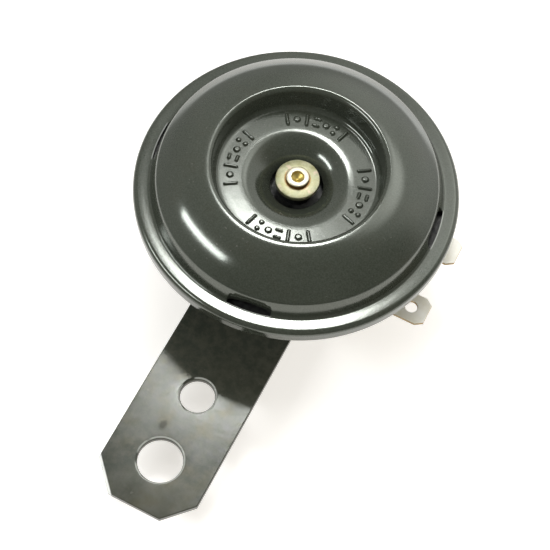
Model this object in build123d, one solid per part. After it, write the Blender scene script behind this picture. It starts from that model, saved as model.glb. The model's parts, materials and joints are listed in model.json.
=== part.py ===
from build123d import *
import math
import os

os.makedirs("parts", exist_ok=True)

# A small 12 V disc horn for a vehicle, all sizes in millimetres.
# The origin is the centre of the bracket's fixing hole, on the bracket's back face.
# +Z is the way the sound leaves, and the horn's axis stands at +Y from the fixing hole.
# The two terminals point along +X.

# Bracket
bracket_width = 21.8
bracket_thickness = 1.5
bracket_end_overhang = 10.5
bracket_corner_side = 5.6
bracket_corner_end = 5.3
fixing_hole_radius = 4.5
fixing_hole_to_axis = 56.8
locating_hole_radius = 3.5
locating_hole_to_axis = 41.5
hole_edge_roll = 0.45

# Rear stud, nut and spring washer
stud_radius = 4.0
stud_hole_clearance = 0.1
nut_thread_clearance = 0.05
nut_across_flats = 13.0
nut_height = 6.5
nut_chamfer = 0.7
stud_recess = 0.5
spring_washer_width = 2.2
spring_washer_height = 2.0
spring_washer_gap = 1.6

# Coil and pole core
core_radius = 7.6
core_to_bobbin = 0.1
bobbin_wall = 0.8
bobbin_lip = 0.6
bobbin_flange = 1.0
bobbin_height = 9.3
winding_depth = 4.2

# Rear housing, one deep drawn shell
housing_sheet = 1.0
cup_height = 9.8
cup_bend = 2.0
cup_draft = 0.4
bobbin_to_cup = 0.2
shoulder_width = 12.9
shoulder_bend = 1.0
wall_bend = 2.0
wall_height = 7.9
wall_draft = 0.3
flange_bend = 0.4
flange_width = 2.5

# Diaphragm and its gaskets
gasket_thickness = 0.4
gasket_setback = 0.2
diaphragm_sheet = 0.35
diaphragm_dish = 1.15
diaphragm_pad_radius = 11.0
diaphragm_step = 2.5
corrugation_height = 0.8
corrugation_width = 3.2
corrugation_count = 1
diaphragm_to_crimp = 0.3

# Front cover, one pressed shell crimped over the housing's flange
cover_sheet = 0.7
crimp_width = 2.0
crimp_bend = 0.9
rim_bend = 1.1
rim_land = 3.35
skirt_bend = 0.7
skirt_lean = 1.25
skirt_height = 3.5
shoulder_roll = 1.2
dome_outer_slope = 41.0
dome_inner_slope = 10.0
dome_bend_share = 0.89
lip_height = 8.5
lip_roll = 0.9
lip_land = 1.4
lip_land_fall = 0.03
lip_knee_share = 0.09
recess_lean = 0.75
recess_bend = 0.8
floor_height = 3.05
floor_rise = 0.13
floor_width = 5.05
dish_rim_bend = 7.5
dish_rim_width = 1.3
dish_rim_drop = 0.2
dish_edge_bend = 1.2
dish_wall_width = 2.3
dish_floor_width = 2.2
dish_floor_height = 0.3
dish_floor_bend = 3.0
cover_hole_drop = 0.35
washer_to_cover = 0.9

# Sound slots punched through the foot of the skirt
slot_count = 4
slot_length = 8.9
slot_depth = 1.25
slot_end_radius = 0.3
slot_outset = 0.2
slot_angle = 8.0

# Armature and stem
air_gap = 0.8
armature_radius = 8.0
armature_flange_width = 2.5
armature_flange_height = 1.4
armature_pad_radius = 5.0
armature_pad_height = 1.6
stem_radius = 2.3
stem_in_armature = 5.0
stem_boss_height = 0.9
stem_boss_chamfer = 0.2
stem_socket_radius = 1.2
stem_socket_depth = 0.5
stem_cone_depth = 0.7
collar_wall = 1.0
collar_length = 3.5
stem_washer_width = 2.1
stem_washer_thickness = 1.2
stem_washer_chamfer = 0.15

# Contact breaker
insulator_thickness = 1.0
insulator_to_adjuster = 0.45
insulator_width = 5.4
moving_arm_thickness = 0.4
moving_arm_width = 5.0
moving_arm_tip_width = 3.0
moving_arm_under_flange = 1.7
moving_arm_to_flange = 0.3
fixed_arm_thickness = 0.6
fixed_arm_past_contact = 1.8
arm_hole_share = 0.43
arm_lug_length = 2.8
arm_lug_width = 2.4
contact_radius = 1.3
contact_height = 0.8
contact_to_flange = 3.9
top_insulator_thickness = 0.8
breaker_rivet_share = 0.26
breaker_rivet_head_share = 0.39
breaker_rivet_head_height = 0.8
rivet_clearance = 0.05

# Tone adjuster
adjuster_radius = 2.0
adjuster_bush_wall = 0.8
adjuster_bush_spigot = 0.4
adjuster_bush_height = 2.0
adjuster_standout = 1.5
adjuster_slot_width = 0.8
adjuster_slot_depth = 0.9
adjuster_thread_clearance = 0.05

# Terminals
terminal_width = 6.3
terminal_thickness = 0.8
terminal_spacing = 15.2
terminal_tip_to_axis = 33.9
terminal_tip_side = 1.5
terminal_tip_end = 1.05
terminal_tip_bevel = 0.2
terminal_hole_radius = 1.25
terminal_hole_to_tip = 3.6
terminal_tail = 3.4
terminal_rivet_inset = 3.5
terminal_rivet_radius = 1.5
terminal_rivet_head_radius = 2.4
terminal_rivet_head_height = 0.9
terminal_collar_wall = 0.8
terminal_plate_thickness = 1.2
terminal_inner_plate_thickness = 0.8
terminal_plate_margin = 1.2

# Enamelled leads inside the housing
lead_radius = 0.4
lead_bend = 1.4
lead_rise = 1.4
lead_to_winding_edge = 0.5
breaker_lead_angle = 50.0

# Levels along the axis, from the bracket forwards
cup_back = bracket_thickness
cup_floor = cup_back + housing_sheet
shoulder_back = cup_back + cup_height
shoulder_floor = shoulder_back + housing_sheet
flange_back = shoulder_back + wall_height
flange_front = flange_back + housing_sheet
diaphragm_back = flange_front + gasket_thickness
diaphragm_front = diaphragm_back + diaphragm_sheet
cover_flange_back = diaphragm_front + gasket_thickness
cover_flange_front = cover_flange_back + cover_sheet
diaphragm_pad_back = diaphragm_back - diaphragm_dish
diaphragm_pad_front = diaphragm_pad_back + diaphragm_sheet
core_top = cup_floor + bobbin_height
armature_back = core_top + air_gap
moving_arm_back = shoulder_floor + insulator_thickness
moving_arm_front = moving_arm_back + moving_arm_thickness
armature_flange_back = moving_arm_front + moving_arm_to_flange
fixed_arm_back = moving_arm_front + 2 * contact_height
fixed_arm_front = fixed_arm_back + fixed_arm_thickness
breaker_top = fixed_arm_front + top_insulator_thickness
stem_washer_back = diaphragm_pad_front + collar_length
stem_washer_front = stem_washer_back + stem_washer_thickness
stem_top = stem_washer_front + stem_boss_height
terminal_front = shoulder_back - terminal_plate_thickness
terminal_back = terminal_front - terminal_thickness
inner_plate_front = shoulder_floor + terminal_inner_plate_thickness
terminal_rivet_front = inner_plate_front + terminal_rivet_head_height
nut_top = -spring_washer_height
nut_base = nut_top - nut_height

# Radii, from the pole core outwards
bobbin_bore = core_radius + core_to_bobbin
bobbin_tube_radius = bobbin_bore + bobbin_wall
winding_radius = bobbin_tube_radius + winding_depth
bobbin_radius = winding_radius + bobbin_lip
cup_inner_bend = cup_bend - housing_sheet
cup_radius = bobbin_radius + bobbin_to_cup + cup_inner_bend + housing_sheet
cup_mouth_radius = cup_radius + cup_draft
wall_radius = cup_mouth_radius + shoulder_width
wall_foot_radius = wall_radius + wall_draft
flange_radius = wall_foot_radius + flange_width
crimp_bore = flange_radius + crimp_bend - cover_sheet
rim_radius = crimp_bore + cover_sheet
skirt_foot_radius = rim_radius - rim_land
skirt_top_radius = skirt_foot_radius - skirt_lean
gasket_bore = wall_foot_radius + flange_bend + gasket_setback
gasket_radius = crimp_bore - (rim_bend - cover_sheet)
shoulder_flat_end = wall_radius - wall_bend
stud_hole_radius = stud_radius + stud_hole_clearance
collar_radius = stem_radius + collar_wall
stem_washer_radius = stem_radius + stem_washer_width
cover_hole_radius = stem_washer_radius + washer_to_cover
dish_floor_radius = cover_hole_radius + dish_floor_width
dish_edge_radius = dish_floor_radius + dish_wall_width
dish_rim_radius = dish_edge_radius + dish_rim_width
recess_radius = dish_rim_radius + floor_width
lip_radius = recess_radius + recess_lean
armature_flange_radius = armature_radius + armature_flange_width

# Places on the housing's shoulder
adjuster_bush_radius = adjuster_radius + adjuster_thread_clearance + adjuster_bush_wall
adjuster_radial = cup_mouth_radius + shoulder_bend + adjuster_bush_radius
insulator_start = adjuster_radial + adjuster_radius + insulator_to_adjuster
insulator_length = shoulder_flat_end - insulator_start
breaker_radial = shoulder_flat_end - insulator_length / 2
insulator_short_side = min(insulator_length, insulator_width)
breaker_rivet_radius = breaker_rivet_share * insulator_short_side
breaker_rivet_head_radius = breaker_rivet_head_share * insulator_short_side
contact_radial = armature_flange_radius + contact_to_flange
terminal_side = terminal_spacing / 2
terminal_rivet_to_axis = math.sqrt((shoulder_flat_end - terminal_rivet_inset) ** 2 - terminal_side**2)
rivet_hole_radius = breaker_rivet_radius + rivet_clearance
terminal_collar_radius = terminal_rivet_radius + terminal_collar_wall
horn_axis = Pos(0, fixing_hole_to_axis, 0)


def line_crossing(point_a, direction_a, point_b, direction_b):
    """Where two lines in the section plane meet."""
    cross = direction_a[0] * direction_b[1] - direction_a[1] * direction_b[0]
    gap = (point_b[0] - point_a[0], point_b[1] - point_a[1])
    along = (gap[0] * direction_b[1] - gap[1] * direction_b[0]) / cross
    return (point_a[0] + along * direction_a[0], point_a[1] + along * direction_a[1])


def unit_direction(start, end):
    """Unit vector from one section point to the next."""
    length = math.dist(start, end)
    return ((end[0] - start[0]) / length, (end[1] - start[1]) / length)


def sheet_section(corners, bends, thickness):
    """Closed section of a bent sheet: its near face runs through the corners, with the metal on the
    right-hand side of the walk, and the far face keeps the same thickness round every bend."""
    runs = [unit_direction(a, b) for a, b in zip(corners, corners[1:])]
    rights = [(run[1], -run[0]) for run in runs]

    def shifted(point, right):
        return (point[0] + thickness * right[0], point[1] + thickness * right[1])

    far = [shifted(corners[0], rights[0])]
    far_bends = []
    for i in range(1, len(corners) - 1):
        before = shifted(corners[i], rights[i - 1])
        after = shifted(corners[i], rights[i])
        far.append(line_crossing(before, runs[i - 1], after, runs[i]))
        turn = runs[i - 1][0] * runs[i][1] - runs[i - 1][1] * runs[i][0]
        far_bends.append(bends[i - 1] + math.copysign(thickness, turn))
    far.append(shifted(corners[-1], rights[-1]))

    near_line = FilletPolyline(*corners, radius=bends)
    far_line = FilletPolyline(*far, radius=far_bends)
    ends = [Line(corners[0], far[0]), Line(corners[-1], far[-1])]
    return make_face(Curve() + near_line + far_line + ends)


def turned(section):
    """Solid of revolution about the horn's axis from a section drawn as (radius, height)."""
    return revolve(Plane.XZ * section, Axis.Z)


def ring(outer_radius, inner_radius, low, high):
    """Plain ring between two levels."""
    section = Pos((outer_radius + inner_radius) / 2, (low + high) / 2) * Rectangle(
        outer_radius - inner_radius, high - low
    )
    return turned(section)


def disc(radius, low, high, place=Pos(0, 0, 0)):
    """Plain disc or pin between two levels."""
    return place * extrude(Pos(0, 0, low) * Circle(radius), high - low)


def bend_for(share, run, turn):
    """Bend radius whose rounding takes up a share of a straight run."""
    return share * run / math.tan(math.radians(turn) / 2)


def front_cover():
    """Pressed front: centre dish, flat annular floor, domed ring, skirt and crimped rim in one sheet."""
    top = cover_flange_front
    dish_rim = top + floor_height + floor_rise
    lip = (lip_radius, top + lip_height)
    knee = (lip_radius + lip_land, top + lip_height - lip_land_fall)
    skirt_top = (skirt_top_radius, top + skirt_height)
    inner_slope = math.radians(dome_inner_slope)
    outer_slope = math.radians(dome_outer_slope)
    dome = line_crossing(
        knee,
        (math.cos(inner_slope), -math.sin(inner_slope)),
        skirt_top,
        (-math.cos(outer_slope), math.sin(outer_slope)),
    )
    knee_turn = dome_inner_slope - math.degrees(math.atan2(lip_land_fall, lip_land))
    dome_run = math.dist(knee, dome)
    shorter_run = min(dome_run, math.dist(dome, skirt_top))
    corners = [
        (cover_hole_radius, top - cover_hole_drop),
        (dish_floor_radius, top + dish_floor_height),
        (dish_edge_radius, dish_rim - dish_rim_drop),
        (dish_rim_radius, dish_rim),
        (recess_radius, top + floor_height),
        lip,
        knee,
        dome,
        skirt_top,
        (skirt_foot_radius, top),
        (rim_radius, top),
        (rim_radius, flange_back - cover_sheet),
        (rim_radius - crimp_width, flange_back - cover_sheet),
    ]
    bends = [
        dish_floor_bend,
        dish_edge_bend,
        dish_rim_bend,
        recess_bend,
        lip_roll,
        bend_for(lip_knee_share, dome_run, knee_turn),
        bend_for(dome_bend_share, shorter_run, dome_outer_slope - dome_inner_slope),
        shoulder_roll,
        skirt_bend,
        rim_bend,
        crimp_bend,
    ]
    shell = turned(sheet_section(corners, bends, cover_sheet))
    return shell - sound_slots()


def sound_slots():
    """Crescent punches at the foot of the skirt: a straight inner edge and a round outer edge."""
    outer = skirt_foot_radius + slot_outset
    inner = outer - slot_depth
    strip = Pos(inner + slot_depth, 0) * Rectangle(2 * slot_depth, slot_length)
    punch = fillet((strip & Circle(outer)).vertices(), slot_end_radius)
    tool = extrude(Pos(0, 0, cover_flange_back - cover_sheet) * punch, skirt_height + 2 * cover_sheet)
    return [Rot(0, 0, slot_angle + i * 360 / slot_count) * tool for i in range(slot_count)]


def gasket(low):
    """Paper ring under the crimp."""
    return ring(gasket_radius, gasket_bore, low, low + gasket_thickness)


def diaphragm():
    """Spring steel disc with a dished centre pad and rings of corrugation."""
    edge = crimp_bore - diaphragm_to_crimp
    pad_end = diaphragm_pad_radius
    level = pad_end + diaphragm_step
    corners = [(edge, diaphragm_back), (level + diaphragm_step, diaphragm_back)]
    wave_start = gasket_bore - corrugation_width
    for i in range(corrugation_count):
        outer = wave_start - 2 * i * corrugation_width
        crest = (outer - corrugation_width / 2, diaphragm_back + corrugation_height)
        corners[-1:-1] = [(outer, diaphragm_back), crest, (outer - corrugation_width, diaphragm_back)]
    corners += [(pad_end, diaphragm_pad_back), (stem_radius, diaphragm_pad_back)]
    bends = [diaphragm_sheet * 1.5] * (len(corners) - 2)
    return turned(sheet_section(corners, bends, diaphragm_sheet))


def rear_housing():
    """Drawn shell: cup for the coil, flat shoulder for the breaker and terminals, wall and flange."""
    corners = [
        (flange_radius, flange_back),
        (wall_foot_radius, flange_back),
        (wall_radius, shoulder_back),
        (cup_mouth_radius, shoulder_back),
        (cup_radius, cup_back),
        (stud_hole_radius, cup_back),
    ]
    bends = [flange_bend, wall_bend, shoulder_bend, cup_bend]
    shell = turned(sheet_section(corners, bends, housing_sheet))
    spigot_hole = disc(
        adjuster_bush_radius - adjuster_bush_spigot, cup_back, flange_back, Pos(0, adjuster_radial, 0)
    )
    rivet_hole = disc(rivet_hole_radius, cup_back, flange_back, Pos(0, breaker_radial, 0))
    collar_holes = [
        disc(terminal_collar_radius, cup_back, flange_back, place) for place in terminal_places()
    ]
    return shell - spigot_hole - rivet_hole - collar_holes


def terminal_places():
    """Centres of the two terminal rivets."""
    return [Pos(terminal_rivet_to_axis, side * terminal_side, 0) for side in (-1, 1)]


def pole_core():
    """Turned core that draws the armature, with the fixing stud as its tail."""
    stud_end = nut_base + stud_recess
    core = disc(core_radius, cup_floor, core_top)
    stud = disc(stud_radius, stud_end, cup_floor)
    stud = chamfer(stud.edges().sort_by(Axis.Z)[0], stud_recess)
    return core + stud


def coil_bobbin():
    """Moulded bobbin with two flanges."""
    low = ring(bobbin_radius, bobbin_bore, cup_floor, cup_floor + bobbin_flange)
    tube = ring(bobbin_tube_radius, bobbin_bore, cup_floor, core_top)
    high = ring(bobbin_radius, bobbin_bore, core_top - bobbin_flange, core_top)
    return low + tube + high


def coil_winding():
    """Enamelled copper wire, wound full."""
    return ring(winding_radius, bobbin_tube_radius, cup_floor + bobbin_flange, core_top - bobbin_flange)


def armature():
    """Turned iron slug on the diaphragm's back, with a flange that opens the contacts."""
    pad_foot = diaphragm_pad_back - armature_pad_height
    slug = disc(armature_radius, armature_back, pad_foot)
    flange = disc(
        armature_flange_radius, armature_flange_back, armature_flange_back + armature_flange_height
    )
    pad = disc(armature_pad_radius, pad_foot, diaphragm_pad_back)
    bore = disc(stem_radius, diaphragm_pad_back - stem_in_armature, diaphragm_pad_back)
    return slug + flange + pad - bore


def stem():
    """Plated pin through the diaphragm, with a round socket with a coned bottom in its end."""
    pin = disc(stem_radius, diaphragm_pad_back - stem_in_armature, stem_top)
    pin = chamfer(pin.edges().sort_by(Axis.Z)[-1], stem_boss_chamfer)
    socket_floor = stem_top - stem_socket_depth
    cone = Pos(0, 0, socket_floor - stem_cone_depth / 2) * Cone(0.0, stem_socket_radius, stem_cone_depth)
    return pin - disc(stem_socket_radius, socket_floor, stem_top) - cone


def stem_washer():
    """Plated washer under the stem's end."""
    washer = ring(stem_washer_radius, stem_radius, stem_washer_back, stem_washer_front)
    rims = washer.edges().filter_by(GeomType.CIRCLE)
    outer = [edge for edge in rims if edge.radius > (stem_radius + stem_washer_radius) / 2]
    return chamfer(outer, stem_washer_chamfer)


def breaker_insulator(low, thickness):
    """Rectangular pressboard washer of the breaker's stack."""
    outline = Pos(0, breaker_radial) * Rectangle(insulator_width, insulator_length)
    hole = Pos(0, breaker_radial) * Circle(rivet_hole_radius)
    return extrude(Pos(0, 0, low) * (outline - hole), thickness)


def breaker_arm(low, thickness, width, inner_end):
    """Flat contact arm from the stack towards the armature, with a clearance hole at its root."""
    outer_end = breaker_radial + insulator_length / 2
    outline = Pos(0, (outer_end + inner_end) / 2) * Rectangle(width, outer_end - inner_end)
    hole = Pos(0, breaker_radial) * Circle(arm_hole_share * insulator_short_side)
    return outline - hole, low, thickness


def moving_arm():
    """Springy lower arm: narrow tip under the armature's flange and a side lug for its lead."""
    tip_end = armature_flange_radius - moving_arm_under_flange
    outline, low, thickness = breaker_arm(
        moving_arm_back, moving_arm_thickness, moving_arm_width, contact_radial - 2 * contact_radius
    )
    tip_length = contact_radial - tip_end
    outline += Pos(0, tip_end + tip_length / 2) * Rectangle(moving_arm_tip_width, tip_length)
    outline += Pos(*lug_centre()) * Rectangle(arm_lug_length, arm_lug_width)
    return extrude(Pos(0, 0, low) * outline, thickness)


def lug_centre():
    """Middle of the moving arm's side lug."""
    return (moving_arm_width / 2 + arm_lug_length / 2, breaker_radial)


def fixed_arm():
    """Stiff upper arm that carries the fixed contact."""
    outline, low, thickness = breaker_arm(
        fixed_arm_back, fixed_arm_thickness, moving_arm_width, contact_radial - fixed_arm_past_contact
    )
    return extrude(Pos(0, 0, low) * outline, thickness)


def breaker_rivet():
    """Rivet that clamps the breaker's stack to the housing's shoulder."""
    place = Pos(0, breaker_radial, 0)
    shank = disc(breaker_rivet_radius, shoulder_back, breaker_top, place)
    tail = disc(breaker_rivet_head_radius, shoulder_back - breaker_rivet_head_height, shoulder_back, place)
    head = disc(breaker_rivet_head_radius, breaker_top, breaker_top + breaker_rivet_head_height, place)
    tail = fillet(tail.edges().sort_by(Axis.Z)[0], breaker_rivet_head_height / 2)
    head = fillet(head.edges().sort_by(Axis.Z)[-1], breaker_rivet_head_height / 2)
    return tail + shank + head


def adjuster_bush():
    """Threaded bush pressed into the shoulder from behind."""
    place = Pos(0, adjuster_radial, 0)
    head = disc(adjuster_bush_radius, shoulder_back - adjuster_bush_height, shoulder_back, place)
    spigot = disc(adjuster_bush_radius - adjuster_bush_spigot, shoulder_back, shoulder_floor, place)
    bore_radius = adjuster_radius + adjuster_thread_clearance
    bore = disc(bore_radius, shoulder_back - adjuster_bush_height, shoulder_floor, place)
    return head + spigot - bore


def adjusting_screw():
    """Slotted grub screw whose end bears on the moving arm."""
    low = shoulder_back - adjuster_bush_height - adjuster_standout
    screw = disc(adjuster_radius, low, moving_arm_back, Pos(0, adjuster_radial, 0))
    slot_level = low + adjuster_slot_depth / 2
    slot = Pos(0, adjuster_radial, slot_level) * Box(
        adjuster_slot_width, 3 * adjuster_radius, adjuster_slot_depth
    )
    return screw - slot


def terminal_sector(low, thickness):
    """Insulating plate on the shoulder, a sector of a ring that spans both terminals."""
    inner = cup_mouth_radius + shoulder_bend + terminal_plate_margin / 2
    half_width = terminal_side + terminal_width / 2 + terminal_plate_margin
    ring_outline = Circle(shoulder_flat_end) - Circle(inner)
    span = Pos(shoulder_flat_end, 0) * Rectangle(2 * shoulder_flat_end, 2 * half_width)
    return extrude(Pos(0, 0, low) * (ring_outline & span), thickness)


def terminal_plate_outer():
    """Outer insulating plate, with collars that line the housing's holes."""
    plate = terminal_sector(terminal_front, terminal_plate_thickness)
    collars = [disc(terminal_collar_radius, shoulder_back, shoulder_floor, p) for p in terminal_places()]
    holes = [
        disc(terminal_rivet_radius, terminal_front, shoulder_floor, place) for place in terminal_places()
    ]
    return plate + collars - holes


def terminal_plate_inner():
    """Inner insulating plate."""
    plate = terminal_sector(shoulder_floor, terminal_inner_plate_thickness)
    return plate - [
        disc(terminal_rivet_radius, shoulder_floor, inner_plate_front, place)
        for place in terminal_places()
    ]


def spade_terminal(side):
    """Flat tab with a holed tip and bevelled edges, riveted at its tail."""
    tail = terminal_rivet_to_axis - terminal_tail
    tip = terminal_tip_to_axis
    middle = Pos((tail + tip) / 2, side * terminal_side)
    outline = middle * Rectangle(tip - tail, terminal_width)
    corners = outline.vertices().group_by(Axis.X)[-1]
    outline = chamfer(corners, terminal_tip_end, terminal_tip_side, reference=end_edge(outline))
    outline -= Pos(tip - terminal_hole_to_tip, side * terminal_side) * Circle(terminal_hole_radius)
    outline -= Pos(terminal_rivet_to_axis, side * terminal_side) * Circle(terminal_rivet_radius)
    tab = extrude(Pos(0, 0, terminal_back) * outline, terminal_thickness)
    tip_edges = tab.edges().filter_by(Axis.Y).group_by(Axis.X)[-1]
    return chamfer(tip_edges, terminal_tip_bevel)


def end_edge(outline):
    """Edge of an outline that lies furthest along X."""
    return outline.edges().sort_by(Axis.X)[-1]


def terminal_rivet(side):
    """Rivet that holds a terminal and carries its current through the shoulder."""
    place = Pos(terminal_rivet_to_axis, side * terminal_side, 0)
    tail_low = terminal_back - terminal_rivet_head_height
    tail = disc(terminal_rivet_head_radius, tail_low, terminal_back, place)
    tail = fillet(tail.edges().sort_by(Axis.Z)[0], terminal_rivet_head_height / 2)
    shank = disc(terminal_rivet_radius, terminal_back, inner_plate_front, place)
    head = disc(terminal_rivet_head_radius, inner_plate_front, terminal_rivet_front, place)
    return tail + shank + head


def lead(points):
    """Round wire along straight runs joined by bends."""
    path = FilletPolyline(*points, radius=lead_bend)
    start = Plane(origin=points[0], z_dir=path % 0)
    return sweep(start * Circle(lead_radius), path=path)


def lead_exit(angle):
    """Where a lead leaves the bobbin's upper flange."""
    reach = winding_radius - lead_to_winding_edge
    return (reach * math.cos(math.radians(angle)), reach * math.sin(math.radians(angle)))


def coil_lead_terminal():
    """Lead from the coil to the terminal that has no breaker in its line."""
    rivet = (terminal_rivet_to_axis, -terminal_side)
    leaving = lead_exit(math.degrees(math.atan2(rivet[1], rivet[0])))
    level = terminal_rivet_front + lead_rise + lead_bend
    return lead([(*leaving, core_top), (*leaving, level), (*rivet, level), (*rivet, terminal_rivet_front)])


def coil_lead_breaker():
    """Lead from the coil to the fixed arm."""
    leaving = lead_exit(breaker_lead_angle)
    landing = (0, (contact_radial + breaker_radial) / 2)
    level = fixed_arm_front + lead_rise + lead_bend
    return lead([(*leaving, core_top), (*leaving, level), (*landing, level), (*landing, fixed_arm_front)])


def breaker_lead():
    """Lead from the moving arm's lug round to the other terminal."""
    lug = lug_centre()
    rivet = (terminal_rivet_to_axis, terminal_side)
    halfway = math.atan2(lug[1], lug[0]) / 2 + math.atan2(rivet[1], rivet[0]) / 2
    reach = math.hypot(*rivet)
    middle = (reach * math.cos(halfway), reach * math.sin(halfway))
    level = terminal_rivet_front + lead_rise + lead_bend
    return lead(
        [
            (*lug, moving_arm_front),
            (*lug, level),
            (*middle, level),
            (*rivet, level),
            (*rivet, terminal_rivet_front),
        ]
    )


def mounting_bracket():
    """Flat punched strip: round end under the stud, two fixing holes and clipped corners."""
    end = -bracket_end_overhang
    strip_length = fixing_hole_to_axis - end
    outline = Pos(0, end + strip_length / 2) * Rectangle(bracket_width, strip_length)
    corners = outline.vertices().group_by(Axis.Y)[0]
    end_line = outline.edges().sort_by(Axis.Y)[0]
    outline = chamfer(corners, bracket_corner_end, bracket_corner_side, reference=end_line)
    outline += Pos(0, fixing_hole_to_axis) * Circle(bracket_width / 2)
    outline -= Pos(0, fixing_hole_to_axis) * Circle(stud_hole_radius)
    strip = extrude(outline, bracket_thickness)
    holes = [
        (0, fixing_hole_radius),
        (fixing_hole_to_axis - locating_hole_to_axis, locating_hole_radius),
    ]
    for place, radius in holes:
        strip -= disc(radius, 0, bracket_thickness, Pos(0, place, 0))
    mouths = strip.faces().sort_by(Axis.Z)[-1].edges().filter_by(GeomType.CIRCLE)
    rolled = [edge for edge in mouths if edge.arc_center.Y < fixing_hole_to_axis - bracket_width]
    return fillet(rolled, hole_edge_roll)


def spring_washer():
    """Split lock washer under the nut."""
    washer = ring(stud_hole_radius + spring_washer_width, stud_hole_radius, nut_top, 0)
    reach = stud_hole_radius + spring_washer_width
    return washer - Pos(reach, 0, nut_top / 2) * Box(2 * reach, spring_washer_gap, spring_washer_height)


def hex_nut():
    """Hexagon nut on the stud, both ends chamfered."""
    blank = extrude(
        Pos(0, 0, nut_base) * RegularPolygon(nut_across_flats / 2, 6, major_radius=False), nut_height
    )
    corner_radius = nut_across_flats / math.sqrt(3)
    turned_blank = disc(corner_radius, nut_base, nut_top)
    turned_blank = chamfer(turned_blank.edges().filter_by(GeomType.CIRCLE), nut_chamfer)
    bore = disc(stud_radius + nut_thread_clearance, nut_base, nut_top)
    return (blank & turned_blank) - bore


on_axis = {
    "front_cover": front_cover(),
    "front_gasket": gasket(diaphragm_front),
    "diaphragm": diaphragm(),
    "rear_gasket": gasket(flange_front),
    "rear_housing": rear_housing(),
    "pole_core": pole_core(),
    "coil_bobbin": coil_bobbin(),
    "coil_winding": coil_winding(),
    "armature": armature(),
    "stem": stem(),
    "stem_collar": ring(collar_radius, stem_radius, diaphragm_pad_front, stem_washer_back),
    "stem_washer": stem_washer(),
    "breaker_base_insulator": breaker_insulator(shoulder_floor, insulator_thickness),
    "breaker_moving_arm": moving_arm(),
    "breaker_spacer_insulator": breaker_insulator(moving_arm_front, 2 * contact_height),
    "breaker_fixed_arm": fixed_arm(),
    "breaker_top_insulator": breaker_insulator(fixed_arm_front, top_insulator_thickness),
    "breaker_rivet": breaker_rivet(),
    "moving_contact": disc(
        contact_radius, moving_arm_front, moving_arm_front + contact_height, Pos(0, contact_radial, 0)
    ),
    "fixed_contact": disc(
        contact_radius, fixed_arm_back - contact_height, fixed_arm_back, Pos(0, contact_radial, 0)
    ),
    "adjuster_bush": adjuster_bush(),
    "adjusting_screw": adjusting_screw(),
    "terminal_plate_outer": terminal_plate_outer(),
    "terminal_plate_inner": terminal_plate_inner(),
    "spade_terminal_coil": spade_terminal(-1),
    "spade_terminal_breaker": spade_terminal(1),
    "terminal_rivet_coil": terminal_rivet(-1),
    "terminal_rivet_breaker": terminal_rivet(1),
    "coil_lead_terminal": coil_lead_terminal(),
    "coil_lead_breaker": coil_lead_breaker(),
    "breaker_lead": breaker_lead(),
    "spring_washer": spring_washer(),
    "hex_nut": hex_nut(),
}
pieces = {name: horn_axis * piece for name, piece in on_axis.items()}
pieces["mounting_bracket"] = mounting_bracket()

for name, piece in pieces.items():
    export_step(piece, f"parts/{name}.step")
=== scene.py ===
import json
import math

import bmesh
import bpy
from mathutils import Matrix, Vector


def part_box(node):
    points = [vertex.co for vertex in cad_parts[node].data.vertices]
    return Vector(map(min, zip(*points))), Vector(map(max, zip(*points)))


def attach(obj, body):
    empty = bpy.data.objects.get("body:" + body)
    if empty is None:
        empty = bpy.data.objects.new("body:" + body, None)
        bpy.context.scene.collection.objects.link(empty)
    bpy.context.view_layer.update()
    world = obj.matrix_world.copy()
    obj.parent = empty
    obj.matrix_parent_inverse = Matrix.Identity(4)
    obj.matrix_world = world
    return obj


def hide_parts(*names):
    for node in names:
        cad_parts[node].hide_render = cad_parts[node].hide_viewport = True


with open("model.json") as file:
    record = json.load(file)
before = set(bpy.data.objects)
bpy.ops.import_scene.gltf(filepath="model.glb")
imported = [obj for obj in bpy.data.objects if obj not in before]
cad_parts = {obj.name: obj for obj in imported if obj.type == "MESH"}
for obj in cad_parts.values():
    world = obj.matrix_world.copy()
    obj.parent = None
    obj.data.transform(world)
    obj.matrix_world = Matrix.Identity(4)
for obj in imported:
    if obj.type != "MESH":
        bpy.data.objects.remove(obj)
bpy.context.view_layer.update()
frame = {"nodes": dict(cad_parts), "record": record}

MM = 0.001

# Sizes in millimetres, read from the frame where the frame has them
cover_low, cover_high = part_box("front_cover")
housing_low, housing_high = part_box("rear_housing")
bracket_low, bracket_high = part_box("mounting_bracket")
nut_low, nut_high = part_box("hex_nut")
washer_low, washer_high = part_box("stem_washer")
stem_low, stem_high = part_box("stem")
axis_y = (cover_low.y + cover_high.y) / 2 / MM
rim_radius = (cover_high.x - cover_low.x) / 2 / MM
crimp_back = cover_low.z / MM
bracket_front = bracket_high.z / MM
bracket_end = bracket_low.y / MM
bracket_half = bracket_high.x / MM
floor_level = nut_low.z / MM
pin_radius = (stem_high.x - stem_low.x) / 2 / MM

# Front cover, one bent sheet
cover_sheet = 0.7
crimp_height = 3.55
crimp_width = 2.0
cover_flange = crimp_back + crimp_height
rim_land = 3.35
skirt_foot = rim_radius - rim_land
skirt_height = 3.5
skirt_lean = 1.25
dome_slopes = (10.0, 41.0)
lip_height = 8.47
lip_land = 1.4
lip_land_rise = 0.01
recess_lean = 0.5
floor_height = 3.05
floor_width = 6.8
dish_width = 4.3
dish_wall = (2.0, 1.8)
cover_hole_drop = 0.2
cover_hole_radius = 5.3
cover_step = 0.9

# Bends of the cover's front face, from the dish out to the crimp
dish_side_bend = 8.0
dish_crest_bend = 5.4
recess_foot_bend = 1.1
lip_bend = 1.05
lip_shoulder_bend = 5.6
dome_bend = 15.7
skirt_shoulder_bend = 1.7
skirt_foot_bend = 0.7
rim_bend = 1.1
crimp_bend = 0.9

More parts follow.
